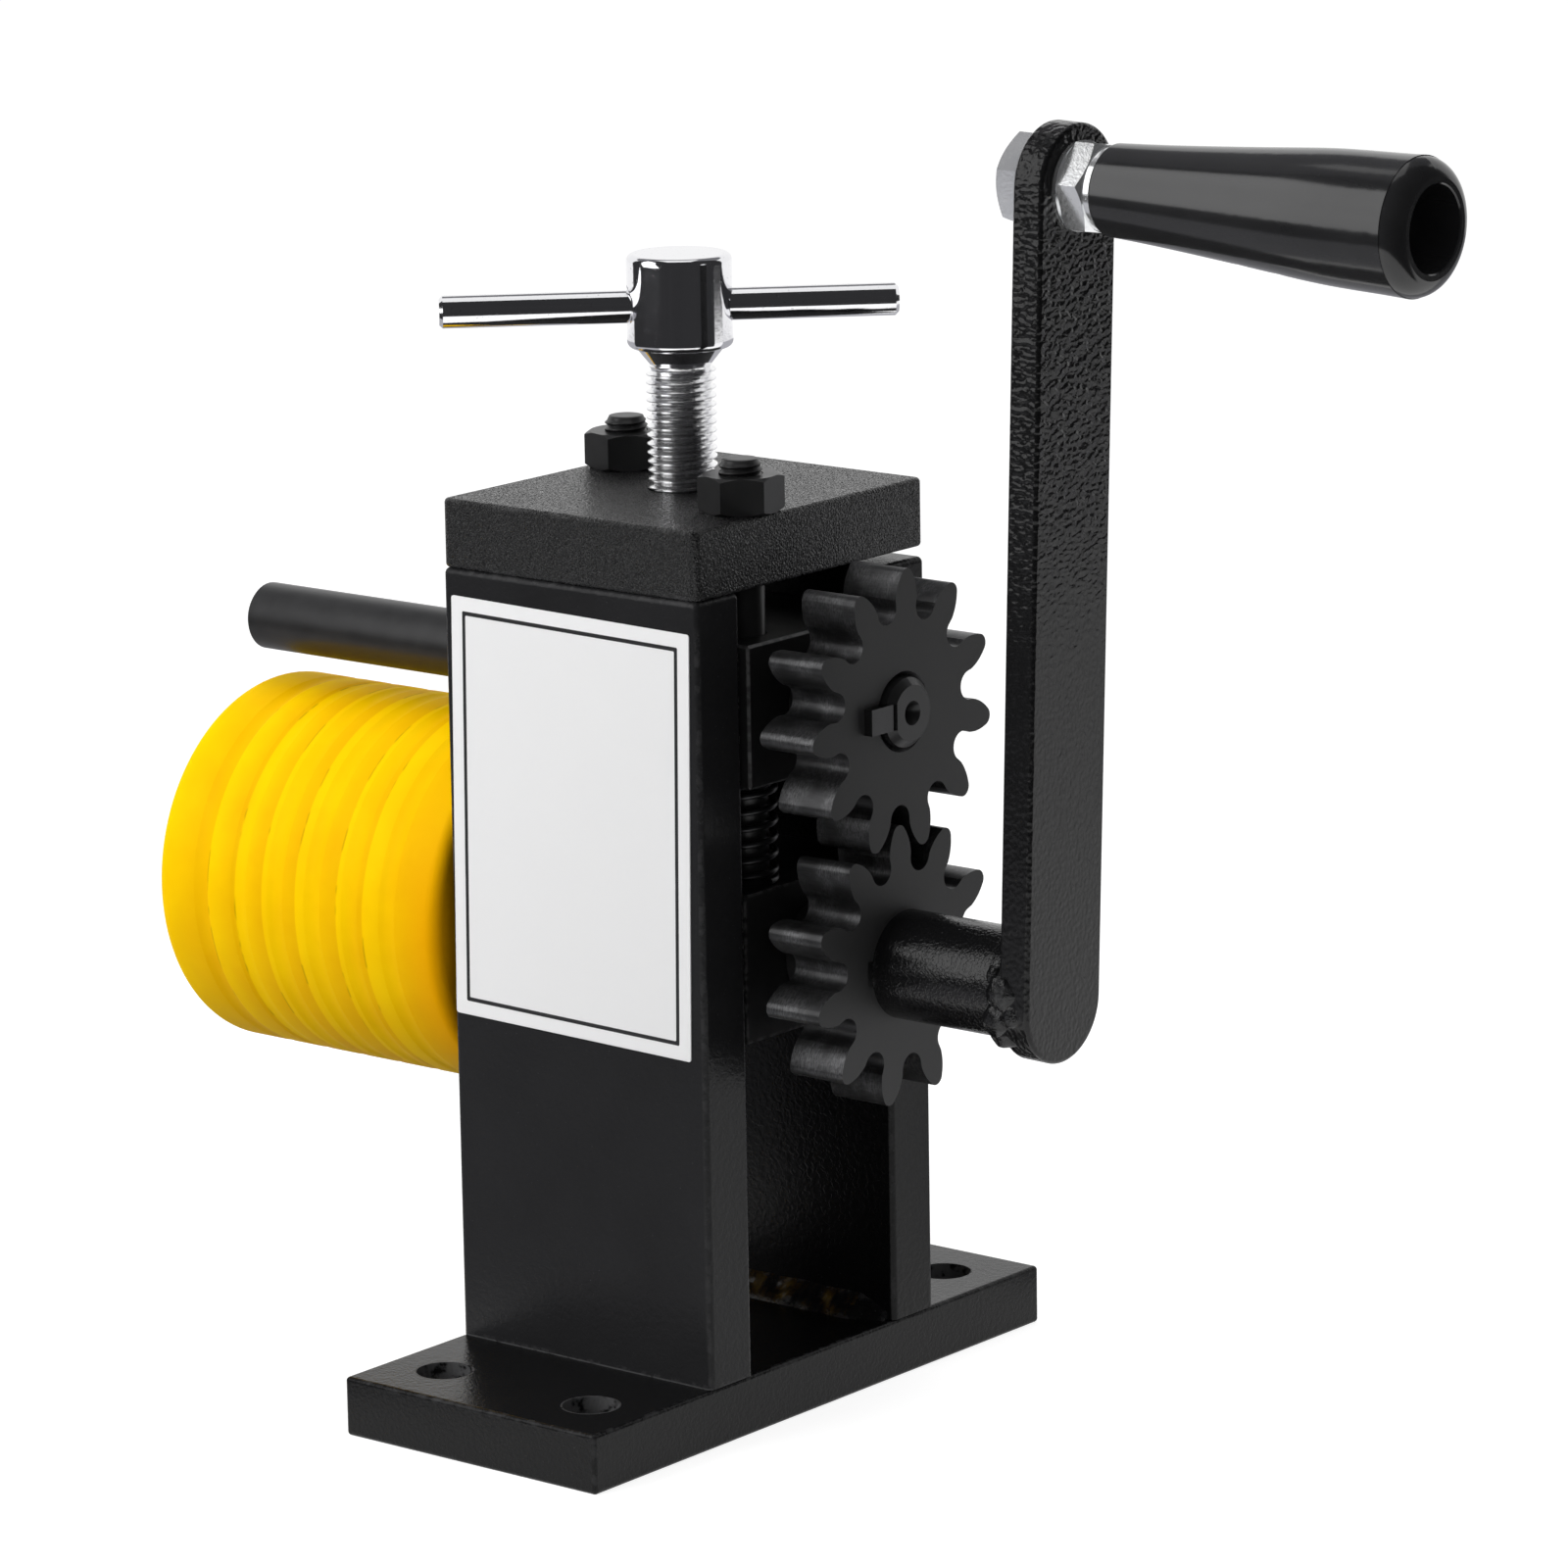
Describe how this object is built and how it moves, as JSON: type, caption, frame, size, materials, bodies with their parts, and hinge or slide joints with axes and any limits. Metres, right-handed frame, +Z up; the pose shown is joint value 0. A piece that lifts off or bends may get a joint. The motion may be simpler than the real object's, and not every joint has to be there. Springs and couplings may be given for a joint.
{
  "type": "hand-cranked roller press",
  "caption": "Bench-mounted hand-cranked forming press: a slim steel rod roller over a large urethane roller, geared together, with a screw-set gap, for curving bangles and cuffs.",
  "frame": {"origin": "centre of the base plate's flat underside", "axes": "+X along the two rollers' axes towards the gears and the crank, +Y from the front upright to the back upright, +Z up"},
  "size_m": [0.3354, 0.164, 0.3033],
  "materials": {
    "frame_paint": "textured black powder coat, half gloss",
    "crank_paint": "leather-grained black powder coat, glossy",
    "block_steel": "blackened, smooth milled",
    "gear_steel": "blackened, satin cut flanks",
    "black_oxide": "black oxide, satin",
    "shaft_steel": "blackened, polished satin",
    "key_steel": "ground bar",
    "spring_steel": "oiled black wire",
    "chrome": "bright plated",
    "core_steel": "turned steel",
    "zinc": "bright zinc plate",
    "urethane": "cast yellow polyurethane, turned, slightly translucent",
    "grip_plastic": "glossy black moulding"
  },
  "bodies": {
    "frame": {"base_plate": "frame_paint", "front_upright": "frame_paint", "back_upright": "frame_paint", "top_plate": "frame_paint", "front_foot_weld": "frame_paint", "back_foot_weld": "frame_paint", "front_block_weld": "frame_paint", "back_block_weld": "frame_paint", "lower_block": "block_steel", "front_tie_rod": "black_oxide", "back_tie_rod": "black_oxide", "front_tie_nut": "black_oxide", "back_tie_nut": "black_oxide", "front_spring": "spring_steel", "back_spring": "spring_steel"},
    "upper_block": {"upper_block": "block_steel", "thrust_pad": "key_steel"},
    "screw": {"pressure_screw": "chrome", "tommy_bar": "chrome"},
    "upper_shaft": {"upper_shaft": "shaft_steel", "upper_gear": "gear_steel", "upper_key": "key_steel", "upper_spacer": "black_oxide", "upper_retainer": "black_oxide"},
    "crank": {"drive_shaft": "shaft_steel", "roller_tyre": "urethane", "roller_core": "core_steel", "roller_key": "key_steel", "roller_thrust_washer": "core_steel", "roller_end_washer": "zinc", "roller_end_screw": "zinc", "lower_gear": "gear_steel", "lower_key": "key_steel", "lower_spacer": "black_oxide", "crank_hub": "crank_paint", "crank_hub_grub": "black_oxide", "crank_hub_weld": "crank_paint", "crank_arm": "crank_paint", "handle_bolt": "zinc", "handle_washer": "zinc", "handle_nut": "zinc", "grip_washer": "zinc", "grip_end_washer": "zinc", "grip_end_nut": "zinc"},
    "grip": {"grip": "grip_plastic"}
  },
  "joints": [
    {"name": "block_travel", "type": "slide", "parent": "frame", "child": "upper_block", "axis": [0, 0, 1], "range_m": [-0.003, 0.004], "deforming": ["front_spring", "back_spring"]},
    {"name": "screw_turn", "type": "hinge", "parent": "upper_block", "child": "screw", "pos_m": [0, 0, 0.22], "axis": [0, 0, 1], "range_deg": [-540.5, 720.5]},
    {"name": "crank_spin", "type": "hinge", "parent": "frame", "child": "crank", "pos_m": [0, 0, 0.1092], "axis": [1, 0, 0], "continuous": true},
    {"name": "upper_spin", "type": "hinge", "parent": "upper_block", "child": "upper_shaft", "pos_m": [0, 0, 0.1674], "axis": [1, 0, 0], "continuous": true},
    {"name": "grip_spin", "type": "hinge", "parent": "crank", "child": "grip", "pos_m": [0.10359, 0.00236, 0.28964], "axis": [0.9997, 0, -0.0227], "continuous": true}
  ],
  "couplings": [
    {"joint": "screw_turn", "follows": "block_travel", "rad_per_m": 3141.6},
    {"joint": "upper_spin", "follows": "crank_spin", "ratio": -1}
  ]
}
